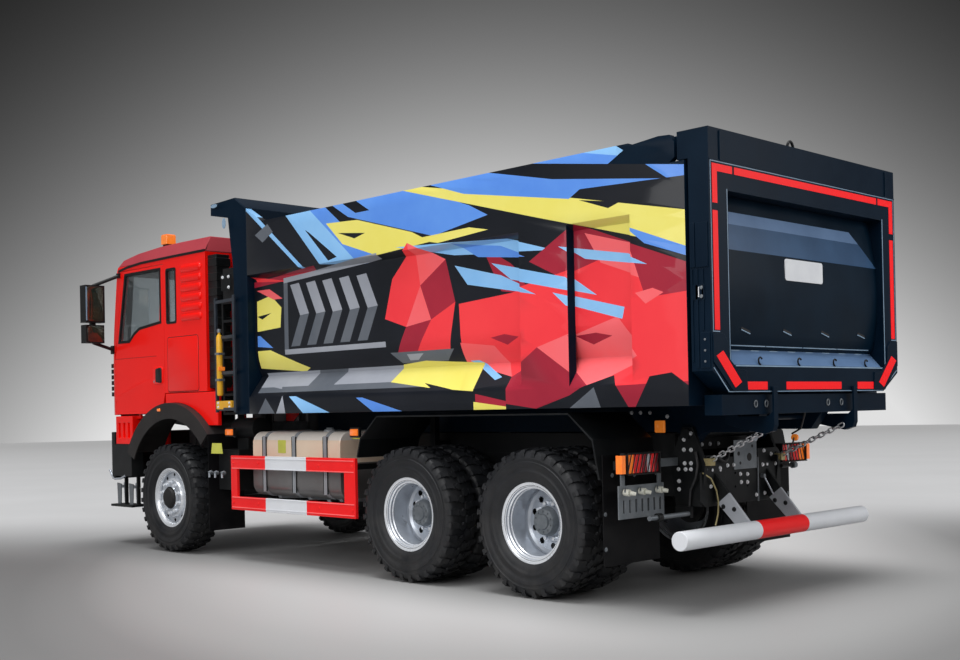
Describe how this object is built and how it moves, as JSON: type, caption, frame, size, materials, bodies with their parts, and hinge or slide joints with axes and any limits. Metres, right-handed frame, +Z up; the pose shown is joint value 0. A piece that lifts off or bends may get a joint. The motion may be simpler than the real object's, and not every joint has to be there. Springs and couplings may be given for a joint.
{
  "type": "dump truck",
  "caption": "Three-axle tipping truck with a tilting cab, steered front wheels, twin rear wheels, a U-shaped steel body on a telescopic hoist and a top-hung tailgate.",
  "frame": {"origin": "on the ground under the middle of the truck's length and width", "axes": "+X forward, +Y to the truck's left, +Z up"},
  "size_m": [8.08, 3, 3.4268],
  "materials": {
    "cab_red": "gloss",
    "roof_crimson": "gloss",
    "chassis_black": "satin",
    "tyre": "matt",
    "rim_silver": "satin",
    "tank_aluminium": "polished",
    "strap_grey": "satin",
    "guard_red": "gloss",
    "guard_white": "gloss",
    "black_plastic": "matt",
    "flap_rubber": "matt",
    "lamp_red": "gloss",
    "lamp_clear": "gloss",
    "glass": "gloss",
    "seat_fabric": "matt",
    "beacon_orange": "gloss",
    "canister_yellow": "gloss",
    "body_paint": "gloss",
    "body_dark": "gloss",
    "chain_steel": "brushed",
    "hoist_chrome": "polished",
    "engine_iron": "matt"
  },
  "bodies": {
    "chassis": {"frame": "chassis_black", "subframe": "chassis_black", "powertrain": "engine_iron", "front_axle": "chassis_black", "rear_axles": "chassis_black", "fuel_tank": "tank_aluminium", "tank_cradle": "strap_grey", "chassis_boxes": "chassis_black", "canister": "canister_yellow", "side_guards": "guard_red", "rear_mudguards": "black_plastic", "front_arches": "black_plastic", "mudflaps": "flap_rubber", "tail_lamps": "lamp_red", "tail_brackets": "strap_grey", "underrun_bar": "guard_white", "bumper": "black_plastic", "headlamps": "lamp_clear", "skirts": "cab_red"},
    "cab": {"cab_shell": "cab_red", "cab_roof": "roof_crimson", "cab_glass": "glass", "grille": "black_plastic", "cab_interior": "seat_fabric", "mirrors": "black_plastic", "beacon": "beacon_orange", "intake_duct": "black_plastic"},
    "left_door": {"left_door": "cab_red", "left_door_glass": "glass"},
    "right_door": {"right_door": "cab_red", "right_door_glass": "glass"},
    "left_knuckle": {"left_knuckle": "chassis_black"},
    "right_knuckle": {"right_knuckle": "chassis_black"},
    "front_left_wheel": {"front_left_tyre": "tyre", "front_left_rim": "rim_silver"},
    "front_right_wheel": {"front_right_tyre": "tyre", "front_right_rim": "rim_silver"},
    "middle_left_wheels": {"middle_left_tyres": "tyre", "middle_left_rims": "rim_silver"},
    "middle_right_wheels": {"middle_right_tyres": "tyre", "middle_right_rims": "rim_silver"},
    "rear_left_wheels": {"rear_left_tyres": "tyre", "rear_left_rims": "rim_silver"},
    "rear_right_wheels": {"rear_right_tyres": "tyre", "rear_right_rims": "rim_silver"},
    "bed": {"bed_floor": "body_dark", "bed_left_side": "body_paint", "bed_right_side": "body_paint", "bed_front": "body_dark", "bed_ladder": "body_dark"},
    "tailgate": {"tailgate_frame": "body_dark", "tailgate_panel": "body_dark"},
    "tail_latch": {"tail_latch": "body_dark"},
    "tail_chains": {"tail_chains": "chain_steel"},
    "hoist_barrel": {"hoist_barrel": "chassis_black"},
    "hoist_stage_1": {"hoist_stage_1": "hoist_chrome"},
    "hoist_stage_2": {"hoist_stage_2": "hoist_chrome"},
    "hoist_stage_3": {"hoist_stage_3": "hoist_chrome"}
  },
  "joints": [
    {"name": "bed_tip", "type": "hinge", "parent": "chassis", "child": "bed", "pos_m": [-3.28, 0, 1.18], "axis": [0, -1, 0], "range_deg": [0, 45]},
    {"name": "tailgate_swing", "type": "hinge", "parent": "bed", "child": "tailgate", "pos_m": [-3.67, 0, 3.09], "axis": [0, 1, 0], "range_deg": [0, 75]},
    {"name": "latch_turn", "type": "hinge", "parent": "bed", "child": "tail_latch", "pos_m": [-3.7, 0, 1.29], "axis": [0, 1, 0], "range_deg": [-40.5, 0]},
    {"name": "chain_swing", "type": "hinge", "parent": "chassis", "child": "tail_chains", "pos_m": [-3.44, 0, 0.975], "axis": [0, -1, 0], "range_deg": [0, 70]},
    {"name": "hoist_lean", "type": "hinge", "parent": "chassis", "child": "hoist_barrel", "pos_m": [1.72, 0, 0.85], "axis": [0, -1, 0], "range_deg": [0, 25.4]},
    {"name": "hoist_slide_1", "type": "slide", "parent": "hoist_barrel", "child": "hoist_stage_1", "axis": [-0.0437, 0, 0.999], "range_m": [0, 1.273]},
    {"name": "hoist_slide_2", "type": "slide", "parent": "hoist_stage_1", "child": "hoist_stage_2", "axis": [-0.0437, 0, 0.999], "range_m": [0, 1.273]},
    {"name": "hoist_slide_3", "type": "slide", "parent": "hoist_stage_2", "child": "hoist_stage_3", "axis": [-0.0437, 0, 0.999], "range_m": [0, 1.273]},
    {"name": "cab_tilt", "type": "hinge", "parent": "chassis", "child": "cab", "pos_m": [3.81, 0, 0.98], "axis": [0, 1, 0], "range_deg": [0, 50]},
    {"name": "left_door_swing", "type": "hinge", "parent": "cab", "child": "left_door", "pos_m": [3.775, 1.13, 2], "axis": [0, 0, -1], "range_deg": [0, 65]},
    {"name": "right_door_swing", "type": "hinge", "parent": "cab", "child": "right_door", "pos_m": [3.775, -1.13, 2], "axis": [0, 0, 1], "range_deg": [0, 65]},
    {"name": "left_steer", "type": "hinge", "parent": "chassis", "child": "left_knuckle", "pos_m": [2.585, 0.885, 0.548], "axis": [0, 0, 1], "range_deg": [-32, 32]},
    {"name": "right_steer", "type": "hinge", "parent": "chassis", "child": "right_knuckle", "pos_m": [2.585, -0.885, 0.548], "axis": [0, 0, 1], "range_deg": [-32, 32]},
    {"name": "front_left_roll", "type": "hinge", "parent": "left_knuckle", "child": "front_left_wheel", "pos_m": [2.585, 1.085, 0.548], "axis": [0, 1, 0], "continuous": true},
    {"name": "front_right_roll", "type": "hinge", "parent": "right_knuckle", "child": "front_right_wheel", "pos_m": [2.585, -1.085, 0.548], "axis": [0, 1, 0], "continuous": true},
    {"name": "middle_left_roll", "type": "hinge", "parent": "chassis", "child": "middle_left_wheels", "pos_m": [-1.04, 0.9, 0.548], "axis": [0, 1, 0], "continuous": true},
    {"name": "middle_right_roll", "type": "hinge", "parent": "chassis", "child": "middle_right_wheels", "pos_m": [-1.04, -0.9, 0.548], "axis": [0, 1, 0], "continuous": true},
    {"name": "rear_left_roll", "type": "hinge", "parent": "chassis", "child": "rear_left_wheels", "pos_m": [-2.39, 0.9, 0.548], "axis": [0, 1, 0], "continuous": true},
    {"name": "rear_right_roll", "type": "hinge", "parent": "chassis", "child": "rear_right_wheels", "pos_m": [-2.39, -0.9, 0.548], "axis": [0, 1, 0], "continuous": true}
  ],
  "couplings": [
    {"joint": "latch_turn", "follows": "tailgate_swing", "ratio": -0.5333},
    {"joint": "chain_swing", "follows": "bed_tip", "ratio": 1.55},
    {"joint": "hoist_lean", "follows": "bed_tip", "ratio": 0.5541},
    {"joint": "hoist_slide_1", "follows": "bed_tip", "m_per_rad": 1.5953},
    {"joint": "hoist_slide_2", "follows": "bed_tip", "m_per_rad": 1.5953},
    {"joint": "hoist_slide_3", "follows": "bed_tip", "m_per_rad": 1.5953},
    {"joint": "right_steer", "follows": "left_steer", "ratio": 1}
  ]
}
